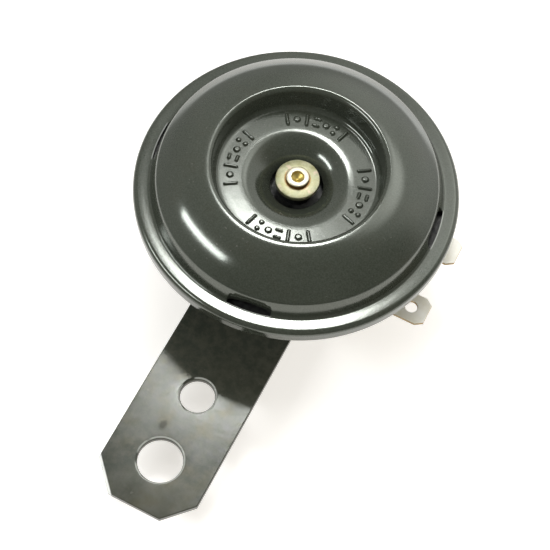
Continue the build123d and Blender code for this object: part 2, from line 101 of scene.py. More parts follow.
# Lean of the recess floor, fading out up its wall and towards the dish
recess_tilt = 2.1
lean_fade = 3.5
lean_below_lip = 1.5
lean_inner_radius = 7.0
lean_outer_radius = 17.4

# Sound slots through the foot of the skirt
slot_count = 4
slot_angle = 8.0
slot_length = 8.9
slot_depth = 1.25
slot_outset = 0.2
slot_nose = 0.35
slot_edge = 0.17
cutter_below = 2.0
cutter_above = 1.5

# Raised marks on the recess floor; their spacing and the widest span of one are in degrees
mark_height = 0.42
mark_slope = 0.42
mark_sink = 0.02
mark_radius = 13.35
mark_reach = 2.1
mark_spacing = 8.6
mark_span = 12.0

# Each mark is one or more parts: (offset across the floor, half length across it, half length round it,
# half width)
mark_shapes = {
    "bar": [(0.0, 1.1, 0.0, 0.27)],
    "stud": [(0.0, 0.0, 0.0, 0.62)],
    "two studs": [(0.8, 0.0, 0.0, 0.42), (-0.8, 0.0, 0.0, 0.42)],
    "two dashes": [(0.8, 0.0, 0.45, 0.26), (-0.8, 0.0, 0.45, 0.26)],
}
mark_group = ["bar", "two studs", "stud", "two dashes", "bar", "stud", "bar"]
mark_group_angles = (100.0, 190.0, 10.0, 280.0)

# Bracket, with its holes as (place along the strip, radius)
bracket_clip = (5.3, 5.6)
clip_angle = math.atan2(*bracket_clip)
bracket_edge_roll = 0.22
bracket_hole_roll = 0.5
small_hole_from_stud = 41.5
large_hole = (0.0, 4.5)
small_hole = (axis_y - small_hole_from_stud, 3.5)
stud_hole_radius = 4.1

# Spade terminals
tab_clip = (1.5, 1.05)
tab_edge_roll = 0.14
tab_hole_roll = 0.12
latch_hole_radius = 1.25
latch_hole_inset = 3.6
tab_rivet_x = 22.0
tab_rivet_radius = 1.5

# Rear housing, one drawn sheet
housing_sheet = 1.0
housing_flange = 2.5
housing_wall_lean = 0.3
cup_depth = 9.8
cup_shoulder = 12.9
cup_wall_lean = 0.4
housing_bends = (0.4, 2.0, 1.0, 2.0)

# Stem and washer; the socket is (distance from the axis, depth below the end face), and each edge is
# (its roll, how far in the middle of the roll lies)
socket_profile = [(0.0, 1.2), (0.35, 1.05), (1.15, 0.55), (1.2, 0.1), (1.32, 0.01), (1.42, 0.0)]
stem_edge = (0.22, 0.06)
washer_edge = (0.2, 0.05)
washer_back_edge = 0.12

# Table top, room and lamps; the lamps' distance is in metres
table_reach = 150.0
table_corner = 60.0
table_centre_y = axis_y - 20.0
table_glow = 0.55
room_fill = 0.2
lamp_distance = 1.0

# Camera, solved from the photo's outlines, with its angles in degrees
camera_place = Vector((52.946, -80.969, 276.895)) * MM
camera_elevation = 63.473
camera_azimuth = -22.015
camera_roll = 5.667
camera_lens = 96.951


def clamped(value):
    """A value kept between 0 and 1."""
    return min(max(value, 0.0), 1.0)


def unit(a, b):
    """Unit vector between two section points."""
    length = math.dist(a, b)
    return ((b[0] - a[0]) / length, (b[1] - a[1]) / length)


def line_crossing(point_a, run_a, point_b, run_b):
    """Where two section lines meet."""
    cross = run_a[0] * run_b[1] - run_a[1] * run_b[0]
    gap = (point_b[0] - point_a[0], point_b[1] - point_a[1])
    along = (gap[0] * run_b[1] - gap[1] * run_b[0]) / cross
    return (point_a[0] + along * run_a[0], point_a[1] + along * run_a[1])


def rounded_path(corners, bends, step=9.0):
    """Points and right-hand normals along straight runs joined by arcs, one arc for each inner corner."""
    path = []

    def add(point, run):
        path.append((point, (run[1], -run[0])))

    add(corners[0], unit(corners[0], corners[1]))
    for i in range(1, len(corners) - 1):
        bend = bends[i - 1]
        before = unit(corners[i - 1], corners[i])
        after = unit(corners[i], corners[i + 1])
        sine = before[0] * after[1] - before[1] * after[0]
        cosine = before[0] * after[0] + before[1] * after[1]
        turn = math.atan2(sine, cosine)
        back = bend * math.tan(abs(turn) / 2)
        start = (corners[i][0] - before[0] * back, corners[i][1] - before[1] * back)
        side = math.copysign(1.0, turn)
        centre = (start[0] - side * before[1] * bend, start[1] + side * before[0] * bend)
        count = max(3, int(abs(math.degrees(turn)) / step) + 1)
        for k in range(count + 1):
            angle = turn * k / count
            run = (
                before[0] * math.cos(angle) - before[1] * math.sin(angle),
                before[0] * math.sin(angle) + before[1] * math.cos(angle),
            )
            add((centre[0] + side * run[1] * bend, centre[1] - side * run[0] * bend), run)
    add(corners[-1], unit(corners[-2], corners[-1]))
    return path


def spread(path, longest):
    """The same path with points added on its long straight runs."""
    out = [path[0]]
    for a, b in zip(path, path[1:]):
        count = max(1, math.ceil(math.dist(a[0], b[0]) / longest))
        for k in range(1, count + 1):
            t = k / count
            point = tuple(p + (q - p) * t for p, q in zip(a[0], b[0]))
            out.append((point, b[1] if t == 1 else a[1]))
    return out


def sheet_loop(path, thickness):
    """Closed section of a bent sheet: out along the path and back at the sheet's thickness."""
    near = [point for point, _ in path]
    far = [(p[0] + n[0] * thickness, p[1] + n[1] * thickness) for p, n in reversed(path)]
    return near + far


def new_object(name, bm, smooth_angle=35.0):
    """Scene object from a bmesh in millimetres."""
    bmesh.ops.remove_doubles(bm, verts=bm.verts, dist=1e-5)
    bmesh.ops.recalc_face_normals(bm, faces=bm.faces)
    bmesh.ops.scale(bm, vec=(MM, MM, MM), verts=bm.verts)
    mesh = bpy.data.meshes.new(name)
    bm.to_mesh(mesh)
    bm.free()
    obj = bpy.data.objects.new(name, mesh)
    bpy.context.scene.collection.objects.link(obj)
    smooth(obj, smooth_angle)
    return obj


def smooth(obj, angle):
    """Smooth shading with sharp edges past an angle."""
    for polygon in obj.data.polygons:
        polygon.use_smooth = True
    obj.data.set_sharp_from_angle(angle=math.radians(angle))


def lathe(name, loop, columns, closed=True, smooth_angle=35.0):
    """Section turned about the horn's axis; one that isn't closed starts and ends on the axis."""
    bm = bmesh.new()
    rings = []
    for radius, height in loop:
        if radius < 1e-6:
            rings.append([bm.verts.new((0.0, axis_y, height))] * columns)
            continue
        ring = []
        for k in range(columns):
            angle = 2 * math.pi * k / columns
            x, y = radius * math.cos(angle), axis_y + radius * math.sin(angle)
            ring.append(bm.verts.new((x, y, height)))
        rings.append(ring)
    pairs = list(zip(rings, rings[1:]))
    if closed:
        pairs.append((rings[-1], rings[0]))
    for a, b in pairs:
        for k in range(columns):
            n = (k + 1) % columns
            corners = []
            for vert in (a[k], a[n], b[n], b[k]):
                if vert not in corners:
                    corners.append(vert)
            if len(corners) > 2:
                bm.faces.new(corners)
    return new_object(name, bm, smooth_angle)


def apply_modifiers(obj):
    """Replaces the mesh by its evaluated one and drops the modifiers."""
    bpy.context.view_layer.update()
    graph = bpy.context.evaluated_depsgraph_get()
    mesh = bpy.data.meshes.new_from_object(obj.evaluated_get(graph))
    obj.modifiers.clear()
    obj.data = mesh
    return obj


# Cover


def cover_path():
    """Front face of the cover, from the centre hole out and round the crimp, as a rounded path."""
    top = cover_flange
    dish_rim = cover_hole_radius + dish_width
    recess = dish_rim + floor_width
    lip = (recess + recess_lean, top + lip_height)
    knee = (lip[0] + lip_land, lip[1] + lip_land_rise)
    skirt_top = (skirt_foot - skirt_lean, top + skirt_height)
    inner, outer = (math.radians(s) for s in dome_slopes)
    dome = line_crossing(
        knee, (math.cos(inner), -math.sin(inner)), skirt_top, (-math.cos(outer), math.sin(outer))
    )
    corners = [
        (cover_hole_radius, top - cover_hole_drop),
        (cover_hole_radius + dish_wall[0], top - cover_hole_drop + dish_wall[1]),
        (dish_rim, top + floor_height),
        (recess, top + floor_height),
        lip,
        knee,
        dome,
        skirt_top,
        (skirt_foot, top),
        (rim_radius, top),
        (rim_radius, crimp_back),
        (rim_radius - crimp_width, crimp_back),
    ]
    bends = [
        dish_side_bend,
        dish_crest_bend,
        recess_foot_bend,
        lip_bend,
        lip_shoulder_bend,
        dome_bend,
        skirt_shoulder_bend,
        skirt_foot_bend,
        rim_bend,
        crimp_bend,
    ]
    return spread(rounded_path(corners, bends, 5.0), cover_step)


def recess_drop(x, y, z):
    """How far the slight lean of the recess floor moves a place on the cover along Z."""
    radius = math.hypot(x, y - axis_y)
    if radius >= lean_outer_radius:
        return 0.0
    turn = math.radians(camera_azimuth)
    rightwards = x * math.cos(turn) - (y - axis_y) * math.sin(turn)
    up_wall = clamped((cover_flange + lip_height - lean_below_lip - z) / lean_fade)
    off_dish = clamped((radius - lean_inner_radius) / lean_fade)
    return -math.tan(math.radians(recess_tilt)) * rightwards * up_wall * off_dish


def lean_recess(obj):
    """Leans the recess floor of a finished mesh."""
    for vert in obj.data.vertices:
        x, y, z = (c / MM for c in vert.co)
        vert.co.z += recess_drop(x, y, z) * MM


def slot_cutter(angle):
    """Prism of one crescent slot."""
    outer = skirt_foot + slot_outset
    inner = outer - slot_depth
    half = slot_length / 2
    end_angle = math.asin(half / outer)
    points = [(inner, -half + slot_nose), (inner, half - slot_nose), (inner + slot_nose, half)]
    count = 24
    for k in range(count + 1):
        a = end_angle - 2 * end_angle * k / count
        points.append((outer * math.cos(a), outer * math.sin(a)))
    points.append((inner + slot_nose, -half))
    bm = bmesh.new()
    place = Matrix.Translation((0, axis_y, 0)) @ Matrix.Rotation(math.radians(angle), 4, "Z")
    bottom = cover_flange - cutter_below
    top = cover_flange + skirt_height + cutter_above
    low = [bm.verts.new(place @ Vector((x, y, bottom))) for x, y in points]
    high = [bm.verts.new(place @ Vector((x, y, top))) for x, y in points]
    bm.faces.new(low)
    bm.faces.new(high)
    for k in range(len(points)):
        n = (k + 1) % len(points)
        bm.faces.new((low[k], low[n], high[n], high[k]))
    return new_object("slot_cutter", bm)


def make_cover(material):
    """Cover shell with its four slots."""
    cover = lathe("cover_shell", sheet_loop(cover_path(), cover_sheet), 360)
    lean_recess(cover)
    cutters = [slot_cutter(slot_angle + k * 360 / slot_count) for k in range(slot_count)]
    for cutter in cutters:
        cut = cover.modifiers.new("cut", "BOOLEAN")
        cut.operation = "DIFFERENCE"
        cut.solver = "EXACT"
        cut.object = cutter
    bevel = cover.modifiers.new("edge", "BEVEL")
    bevel.width = slot_edge * MM
    bevel.segments = 2
    bevel.limit_method = "ANGLE"
    bevel.angle_limit = math.radians(50)
    apply_modifiers(cover)
    for cutter in cutters:
        bpy.data.objects.remove(cutter)
    smooth(cover, 40.0)
    return finish_piece(cover, material, "housing", "black_steel", "front_cover")


def profile_height(path, radius):
    """Height of the cover's front face at a radius on the recess floor."""
    for (a, _), (b, _) in zip(path, path[1:]):
        if a[0] <= radius <= b[0]:
            return a[1] + (b[1] - a[1]) * (radius - a[0]) / (b[0] - a[0])
    return path[-1][0][1]


def floor_marks():
    """Plain bars, studs and dashes in four groups round the floor: (angle, then the mark_shapes values)."""
    marks = []
    for middle in mark_group_angles:
        for k, kind in enumerate(mark_group):
            angle = middle + (k - (len(mark_group) - 1) / 2) * mark_spacing
            marks += [(angle, *part) for part in mark_shapes[kind]]
    return marks


def mark_rise(mark, turn, radius):
    """How far a mark stands up at a place on the floor, from 0 to 1."""
    angle, offset, across, around, width = mark
    away = (turn - angle + 180.0) % 360.0 - 180.0
    if abs(away) > mark_span:
        return 0.0
    side = max(abs(math.radians(away) * radius) - around, 0.0)
    reach = max(abs(radius - mark_radius - offset) - across, 0.0)
    t = clamped((width + mark_slope / 2 - math.hypot(side, reach)) / mark_slope)
    return t * t * (3 - 2 * t)


def make_marks(material):
    """Embossed marks that rise out of the recess floor."""
    path = cover_path()
    columns = 1440
    rows = 44
    marks = floor_marks()
    bm = bmesh.new()
    grid = []
    for i in range(rows + 1):
        radius = mark_radius - mark_reach + 2 * mark_reach * i / rows
        base = profile_height(path, radius) - mark_sink
        ring = []
        for k in range(columns):
            turn = 360.0 * k / columns
            rise = max(mark_rise(mark, turn, radius) for mark in marks)
            angle = math.radians(turn)
            x, y = radius * math.cos(angle), axis_y + radius * math.sin(angle)
            height = base + rise * (mark_height + mark_sink)
            ring.append(bm.verts.new((x, y, height + recess_drop(x, y, base))))
        grid.append(ring)
    for a, b in zip(grid, grid[1:]):
        for k in range(columns):
            n = (k + 1) % columns
            bm.faces.new((a[k], b[k], b[n], a[n]))
    marks_piece = new_object("floor_marks", bm, 80.0)
    return finish_piece(marks_piece, material, "housing", "black_steel")


# Flat punched pieces


def inset_outline(points, inset):
    """A closed counter-clockwise outline moved inwards, with its corners kept."""
    out = []
    count = len(points)
    for i in range(count):
        a, b, c = points[i - 1], points[i], points[(i + 1) % count]
        r1, r2 = unit(a, b), unit(b, c)
        n1, n2 = (-r1[1], r1[0]), (-r2[1], r2[0])
        scale = 1 + n1[0] * n2[0] + n1[1] * n2[1]
        out.append((b[0] + inset * (n1[0] + n2[0]) / scale, b[1] + inset * (n1[1] + n2[1]) / scale))
    return out


def plate(name, outline, holes, low, high, edge_roll, hole_roll, back_roll=0.12, steps=5):
    """Flat sheet piece with holes, its front edges rolled by the punch and its back edges a little."""
    bm = bmesh.new()
    back_middle = back_roll * 0.3

    def wall(ring_at, roll):
        rings = []
        for k in range(steps + 1):
            angle = math.pi / 2 * k / steps
            rings.append((ring_at(roll * (1 - math.sin(angle))), high - roll * (1 - math.cos(angle))))
        rings.append((ring_at(0.0), low + back_roll))
        rings.append((ring_at(back_middle), low + back_middle))
        rings.append((ring_at(back_roll), low))
        verts = [[bm.verts.new((x, y, z)) for x, y in ring] for ring, z in rings]
        for a, b in zip(verts, verts[1:]):
            for k in range(len(a)):
                n = (k + 1) % len(a)
                bm.faces.new((a[k], a[n], b[n], b[k]))
        return verts[0], verts[-1]

    def circle(hole):
        cx, cy, radius = hole
        count = 96
        return lambda inset: [
            (
                cx + (radius + inset) * math.cos(2 * math.pi * k / count),
                cy + (radius + inset) * math.sin(2 * math.pi * k / count),
            )
            for k in range(count)
        ]

    walls = [wall(lambda inset: inset_outline(outline, inset), edge_roll)]
    walls += [wall(circle(hole), hole_roll) for hole in holes]
    for level in (0, 1):
        edges = []
        for loops in walls:
            loop = loops[level]
            for k in range(len(loop)):
                edges.append(bm.edges.get((loop[k], loop[(k + 1) % len(loop)])))
        bmesh.ops.triangle_fill(bm, use_beauty=True, edges=edges)
    piece = new_object(name, bm, 40.0)
    weighted = piece.modifiers.new("flat", "WEIGHTED_NORMAL")
    weighted.keep_sharp = True
    weighted.weight = 100
    return apply_modifiers(piece)


def make_bracket(material):
    """Flat bracket with a round end, two clipped corners, its two fixing holes and the stud's hole."""
    clip_across, clip_along = bracket_clip
    outline = [
        (-bracket_half, axis_y),
        (-bracket_half, bracket_end + clip_along),
        (-bracket_half + clip_across, bracket_end),
        (bracket_half - clip_across, bracket_end),
        (bracket_half, bracket_end + clip_along),
        (bracket_half, axis_y),
    ]
    count = 40
    for k in range(1, count):
        angle = math.pi * k / count
        outline.append((bracket_half * math.cos(angle), axis_y + bracket_half * math.sin(angle)))
    holes = [(0.0, *hole) for hole in (large_hole, small_hole, (axis_y, stud_hole_radius))]
    rolls = (bracket_edge_roll, bracket_hole_roll)
    bracket = plate("bracket_strip", outline, holes, 0.0, bracket_front, *rolls)
    return finish_piece(bracket, material, "housing", "bracket_steel", "mounting_bracket")


def make_terminal(node, material):
    """Spade terminal with a clipped tip, a latch hole and a rivet hole."""
    low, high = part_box(node)
    half = (high.y - low.y) / 2 / MM
    middle = (high.y + low.y) / 2 / MM
    tail, tip = low.x / MM, high.x / MM
    clip_along, clip_across = tab_clip
    outline = [
        (tail, middle - half),
        (tip - clip_along, middle - half),
        (tip, middle - half + clip_across),
        (tip, middle + half - clip_across),
        (tip - clip_along, middle + half),
        (tail, middle + half),
    ]
    holes = [(tip - latch_hole_inset, middle, latch_hole_radius), (tab_rivet_x, middle, tab_rivet_radius)]
    rolls = (tab_edge_roll, tab_hole_roll)
    terminal = plate(node + "_tab", outline, holes, low.z / MM, high.z / MM, *rolls)
    return finish_piece(terminal, material, "housing", "tin", node)


# Turned pieces


def rolled_edge(radius, top, edge):
    """Three points round the outer edge at the top of a turned section."""
    roll, middle = edge
    return [(radius - roll, top), (radius - middle, top - middle), (radius, top - roll)]


def make_housing(material):
    """Rear shell: flange, wall, shoulder and cup."""
    low, high = housing_low.z / MM, housing_high.z / MM
    radius = (housing_high.x - housing_low.x) / 2 / MM
    wall = radius - housing_flange
    shoulder = wall - housing_wall_lean
    cup = shoulder - cup_shoulder
    corners = [
        (radius, high - housing_sheet),
        (wall, high - housing_sheet),
        (shoulder, low + cup_depth),
        (cup, low + cup_depth),
        (cup - cup_wall_lean, low),
        (stud_hole_radius, low),
    ]
    path = spread(rounded_path(corners, housing_bends), 1.2)
    shell = lathe("housing_shell", sheet_loop(path, housing_sheet), 300)
    return finish_piece(shell, material, "housing", "black_steel", "rear_housing")


def make_stem(material):
    """Stem pin with its socket."""
    top, low = stem_high.z / MM, stem_low.z / MM
    loop = [(radius, top - depth) for radius, depth in socket_profile]
    loop += rolled_edge(pin_radius, top, stem_edge)
    loop += [(pin_radius, low), (0.0, low)]
    pin = lathe("stem_pin", loop, 128, closed=False, smooth_angle=50)
    return finish_piece(pin, material, "armature_body", "yellow_zinc", "stem")


def make_stem_washer(material):
    """Washer under the stem's end."""
    top, low = washer_high.z / MM, washer_low.z / MM
    outer = (washer_high.x - washer_low.x) / 2 / MM
    loop = [(pin_radius, top)] + rolled_edge(outer, top, washer_edge)
    loop += [(outer, low + washer_back_edge), (outer - washer_back_edge, low), (pin_radius, low)]
    washer = lathe("washer_disc", loop, 160, smooth_angle=50)
    return finish_piece(washer, material, "armature_body", "yellow_zinc", "stem_washer")


def finish_piece(obj, material, body, slot, *nodes):
    """Gives a piece its material and body, and hides the nodes it stands for; slot is not used."""
    obj.data.materials.clear()
    obj.data.materials.append(material)
    if nodes:
        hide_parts(*nodes)
    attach(obj, body)
    return obj


# Materials


class Nodes:
    """Short way to build the node tree of a material or the world."""

    def __init__(self, owner, output="ShaderNodeOutputMaterial", place="Object"):
        owner.use_nodes = True
        self.owner = owner
        self.tree = owner.node_tree
        self.tree.nodes.clear()
        self.out = self.add(output)
        self.place = self.add("ShaderNodeTexCoord").outputs[place]

    def add(self, kind, links=None, **settings):
        """New node with its settings, and links into its named or numbered inputs."""
        node = self.tree.nodes.new(kind)
        for key, value in settings.items():
            setattr(node, key, value)
        for key, source in (links or {}).items():
            self.tree.links.new(source, node.inputs[key])
        return node

    def put(self, socket, value):
        """Links another node's output into a socket, or sets a colour or a number on it."""
        if hasattr(value, "is_output"):
            self.tree.links.new(value, socket)
        elif isinstance(value, tuple):
            socket.default_value = (*value, 1.0)
        else:
            socket.default_value = value

    def noise(self, scale, detail=3.0, roughness=0.5):
        node = self.add("ShaderNodeTexNoise", {"Vector": self.place})
        node.inputs["Scale"].default_value = scale
        node.inputs["Detail"].default_value = detail
        node.inputs["Roughness"].default_value = roughness
        return node.outputs["Fac"]

    def ramp(self, source, low, high):
        """Straight change between two grey values, each given as (where it is reached, value)."""
        node = self.add("ShaderNodeValToRGB", {"Fac": source})
        for element, (place, grey) in zip(node.color_ramp.elements, (low, high)):
            element.position = place
            element.color = (grey, grey, grey, 1.0)
        return node.outputs["Color"]

    def mix(self, factor, a, b):
        node = self.add("ShaderNodeMix", data_type="RGBA")
        self.put(node.inputs[0], factor)
        self.put(node.inputs[6], a)
        self.put(node.inputs[7], b)
        return node.outputs[2]

    def math(self, operation, a, b=0.0):
        node = self.add("ShaderNodeMath", operation=operation)
        self.put(node.inputs[0], a)
        self.put(node.inputs[1], b)
        return node.outputs[0]

    def inverse(self, value):
        return self.math("SUBTRACT", 1.0, value)

    def far(self, place, weights=(1.0, 1.0, 0.0)):
        """Distance from a place in millimetres, each axis weighted: as a rule, from a line along Z."""
        shift = self.add("ShaderNodeVectorMath", {0: self.place}, operation="SUBTRACT")
        shift.inputs[1].default_value = [c * MM for c in place]
        scale = self.add("ShaderNodeVectorMath", {0: shift.outputs[0]}, operation="MULTIPLY")
        scale.inputs[1].default_value = [c / MM for c in weights]
        length = self.add("ShaderNodeVectorMath", {0: scale.outputs[0]}, operation="LENGTH")
        return length.outputs["Value"]

    def step(self, value, start, end, low=0.0, high=1.0):
        """Smooth change from low to high as a value goes from start to end."""
        span = self.add("ShaderNodeMapRange", {"Value": value}, interpolation_type="SMOOTHSTEP")
        span.inputs["From Min"].default_value = start
        span.inputs["From Max"].default_value = end
        span.inputs["To Min"].default_value = low
        span.inputs["To Max"].default_value = high
        return span.outputs["Result"]

    def bump(self, height, strength, distance, normal=None):
        node = self.add("ShaderNodeBump", {"Height": height})
        node.inputs["Strength"].default_value = strength
        node.inputs["Distance"].default_value = distance
        if normal:
            self.put(node.inputs["Normal"], normal)
        return node.outputs["Normal"]

    def surface(self, colour, roughness, metallic=0.0, normal=None, ior=1.5, tint=(1.0, 1.0, 1.0)):
        """Ends the tree with one surface shader and returns the material."""
        shader = self.add("ShaderNodeBsdfPrincipled")
        self.put(shader.inputs["Base Color"], colour)
        self.put(shader.inputs["Roughness"], roughness)
        self.put(shader.inputs["Metallic"], metallic)
        self.put(shader.inputs["IOR"], ior)
        self.put(shader.inputs["Specular Tint"], tint)
        if normal:
            self.put(shader.inputs["Normal"], normal)
        self.put(self.out.inputs["Surface"], shader.outputs["BSDF"])
        return self.owner


def material_nodes(name):
    """Node tree of a new material."""
    return Nodes(bpy.data.materials.new(name))


def slot_edge_highlight(n):
    """Where a painted highlight runs along the slots' outer edges, from 0 to 1."""
    shift = n.add("ShaderNodeVectorMath", {0: n.place}, operation="SUBTRACT")
    shift.inputs[1].default_value = (0.0, axis_y * MM, 0.0)
    parts = n.add("ShaderNodeSeparateXYZ", {0: shift.outputs[0]})
    turn = n.math("ARCTAN2", parts.outputs["Y"], parts.outputs["X"])
    turn = n.math("SUBTRACT", n.math("MULTIPLY", turn, slot_count), math.radians(slot_angle) * slot_count)
    by_slot = n.step(n.math("COSINE", turn), 0.79, 0.85)
    away = n.far((0.0, axis_y, 0.0))
    edge = skirt_foot + slot_outset
    line = n.math("SUBTRACT", n.step(away, edge - 0.12, edge - 0.02), n.step(away, edge + 0.12, edge + 0.3))
    return n.math("MULTIPLY", by_slot, line)


def black_coat(name, gloss, ior, slots=False):
    """Glossy dark coat over steel: faint orange peel, clouded gloss, dust and small nicks; with slots, a
    painted highlight along the slots' outer edges.
    """
    n = material_nodes(name)
    cloud = n.noise(45.0, 4.0)
    peel = n.noise(700.0, 3.0)
    grain = n.noise(2600.0, 2.0)
    dust = n.ramp(n.noise(1500.0, 2.0, 0.4), (0.70, 0.0), (0.74, 1.0))
    patches = n.ramp(n.noise(90.0, 2.0), (0.45, 0.0), (0.75, 1.0))
    flake = n.ramp(n.noise(3300.0, 3.0, 0.7), (0.36, 0.0), (0.64, 1.0))
    cloudy = n.ramp(cloud, (0.3, 0.0), (0.7, 1.0))
    brownish = n.ramp(n.noise(130.0, 4.0), (0.5, 0.0), (0.75, 0.6))
    colour = n.mix(cloudy, (0.0235, 0.0280, 0.0195), (0.0325, 0.0370, 0.0270))
    colour = n.mix(brownish, colour, (0.0370, 0.0345, 0.0225))
    colour = n.mix(flake, colour, (0.0455, 0.0510, 0.0395))
    colour = n.mix(n.math("MULTIPLY", dust, patches), colour, (0.11, 0.11, 0.095))
    # Painted highlight: a lighter line along each slot's outer edge.
    if slots:
        colour = n.mix(slot_edge_highlight(n), colour, (0.26, 0.27, 0.25))
    rough = n.ramp(cloud, (0.3, gloss), (0.7, gloss + 0.04))
    normal = n.bump(peel, 0.12, 0.00004)
    normal = n.bump(grain, 0.09, 0.00002, normal)
    return n.surface(colour, rough, 0.0, normal, ior, (0.95, 1.0, 0.90))


def bracket_corner_highlight(n):
    """Where a painted highlight lies along one of the bracket's clipped corners, from 0 to 1."""
    across, along = math.sin(clip_angle), math.cos(clip_angle)
    outward = n.add("ShaderNodeVectorMath", {0: n.place}, operation="DOT_PRODUCT")
    outward.inputs[1].default_value = (-along / MM, -across / MM, 0.0)
    corner = bracket_half * along - (bracket_end + bracket_clip[1]) * across
    edge_distance = n.math("SUBTRACT", outward.outputs["Value"], corner)
    return n.math("MULTIPLY", n.step(edge_distance, -0.62, -0.34), n.step(n.noise(500.0, 3.0), 0.28, 0.42))


def bracket_coat_with_highlights(name):
    """Thin satin coat on the bracket: smeared gloss, brownish and bluish patches, dust, a smudge, and
    painted highlights round the fixing holes and along one clipped corner.
    """
    n = material_nodes(name)
    cloud = n.ramp(n.noise(60.0, 5.0), (0.3, 0.0), (0.7, 1.0))
    brownish = n.ramp(n.noise(38.0, 3.0), (0.5, 0.0), (0.72, 0.7))
    dust = n.ramp(n.noise(1000.0, 2.0, 0.4), (0.75, 0.0), (0.80, 0.5))
    patina = n.ramp(n.noise(560.0, 6.0, 0.7), (0.40, 0.0), (0.62, 1.0))
    colour = n.mix(cloud, (0.0260, 0.0300, 0.0240), (0.0400, 0.0440, 0.0330))
    colour = n.mix(brownish, colour, (0.0480, 0.0440, 0.0270))
    colour = n.mix(dust, colour, (0.12, 0.12, 0.10))
    colour = n.mix(patina, colour, (0.052, 0.053, 0.040))
    # Painted highlight: a lighter broken ring just outside each fixing hole's edge.
    for hole_y, hole_radius in (large_hole, small_hole):
        away = n.far((0.0, hole_y, 0.0))
        ring = n.step(away, hole_radius + 0.08, hole_radius + 0.16)
        ring = n.math("SUBTRACT", ring, n.step(away, hole_radius + 0.34, hole_radius + 0.5))
        ring = n.math("MULTIPLY", ring, n.step(n.noise(260.0, 2.0), 0.36, 0.48))
        colour = n.mix(ring, colour, (0.34, 0.35, 0.32))
    # Painted highlight along one clipped corner of the bracket.
    colour = n.mix(bracket_corner_highlight(n), colour, (0.72, 0.73, 0.70))
    smudge_away = n.math("ADD", n.far((-3.0, 6.6, 1.5), (1.1, 0.75, 0.1)), n.noise(900.0, 3.0))
    smudge = n.inverse(n.step(smudge_away, 0.8, 1.7))
    smear = n.ramp(n.noise(150.0, 4.0, 0.6), (0.32, 0.0), (0.68, 1.0))
    rough = n.mix(smear, (0.14, 0.14, 0.14), (0.22, 0.22, 0.22))
    rough = n.mix(smudge, rough, (0.32, 0.32, 0.32))
    normal = n.bump(n.noise(420.0, 4.0), 0.10, 0.00004)
    normal = n.bump(n.noise(2300.0, 2.0), 0.08, 0.00002, normal)
    film = n.ramp(n.noise(620.0, 6.0, 0.7), (0.36, 0.0), (0.64, 1.0))
    warm = n.ramp(n.noise(330.0, 4.0), (0.50, 0.0), (0.66, 0.7))
    tint = n.mix(film, (0.74, 0.79, 0.67), (1.0, 1.0, 0.97))
    tint = n.mix(warm, tint, (0.88, 0.83, 0.62))
    tint = n.mix(smudge, tint, (0.55, 0.55, 0.48))
    return n.surface(colour, rough, 0.0, normal, 1.5, tint)


def yellow_zinc(name):
    """Yellow passivated zinc: gold with olive and rosy clouds, a painted shade line in brown round the
    stem's foot, and a painted reflection of brighter gold in the stem's socket.
    """
    n = material_nodes(name)
    cloud = n.noise(520.0, 4.0, 0.6)
    cloudy = n.ramp(cloud, (0.36, 0.0), (0.64, 1.0))
    olive = n.ramp(n.noise(800.0, 3.0), (0.52, 0.0), (0.66, 0.75))
    rosy = n.ramp(n.noise(640.0, 2.0), (0.60, 0.0), (0.72, 0.6))
    colour = n.mix(cloudy, (0.24, 0.235, 0.12), (0.42, 0.41, 0.27))
    colour = n.mix(olive, colour, (0.29, 0.31, 0.19))
    colour = n.mix(rosy, colour, (0.60, 0.45, 0.36))
    away = n.far((0.0, axis_y, 0.0))
    on_pin = n.inverse(n.step(away, pin_radius - 0.02, pin_radius + 0.02))
    colour = n.mix(on_pin, colour, (0.66, 0.62, 0.47))
    # Painted shade: a dark brown ring round the stem pin's foot.
    foot = n.inverse(n.step(away, pin_radius + 0.1, pin_radius + 0.55))
    foot = n.math("MULTIPLY", foot, n.step(away, pin_radius - 0.05, pin_radius))
    colour = n.mix(foot, colour, (0.20, 0.115, 0.035))
    # Painted reflection: brighter, deeper gold inside the stem's socket.
    socket = n.inverse(n.step(away, 1.1, 1.4))
    colour = n.mix(socket, colour, (0.62, 0.48, 0.14))
    rough = n.ramp(cloud, (0.3, 0.34), (0.7, 0.5))
    return n.surface(colour, rough, 0.85, n.bump(n.noise(2600.0, 2.0), 0.3, 0.00002))


def plain_metal(name, dark, light, roughness, scale=500.0):
    """Bare or plated metal with clouding and fine grain."""
    n = material_nodes(name)
    cloud = n.ramp(n.noise(scale, 4.0), (0.35, 0.0), (0.65, 1.0))
    rough = n.ramp(n.noise(scale * 1.7, 3.0), (0.3, roughness), (0.7, roughness + 0.12))
    normal = n.bump(n.noise(scale * 6, 2.0), 0.2, 0.00002)
    return n.surface(n.mix(cloud, dark, light), rough, 1.0, normal)


def tinned_tab(name):
    """Dull tin over brass: ivory faces with faint stains, golden cut edges."""
    n = material_nodes(name)
    cloud = n.noise(380.0, 4.0)
    face = n.mix(n.ramp(cloud, (0.35, 0.0), (0.65, 1.0)), (0.86, 0.83, 0.70), (0.97, 0.955, 0.87))
    geometry = n.add("ShaderNodeNewGeometry")
    normal = n.add("ShaderNodeSeparateXYZ", {0: geometry.outputs["True Normal"]})
    cut = n.inverse(n.step(n.math("ABSOLUTE", normal.outputs["Z"]), 0.35, 0.8))
    colour = n.mix(cut, face, (0.42, 0.28, 0.10))
    rough = n.ramp(cloud, (0.3, 0.34), (0.7, 0.5))
    return n.surface(colour, rough, 0.1, n.bump(n.noise(1500.0, 3.0), 0.3, 0.00003))


def plain_solid(name, dark, light, roughness):
    """Moulded, pressed or paper material with mottling."""
    n = material_nodes(name)
    cloud = n.noise(300.0, 5.0)
    colour = n.mix(n.ramp(cloud, (0.3, 0.0), (0.7, 1.0)), dark, light)
    rough = n.ramp(cloud, (0.3, roughness), (0.7, roughness + 0.1))
    return n.surface(colour, rough, 0.0, n.bump(n.noise(1500.0, 3.0), 0.2, 0.00003))


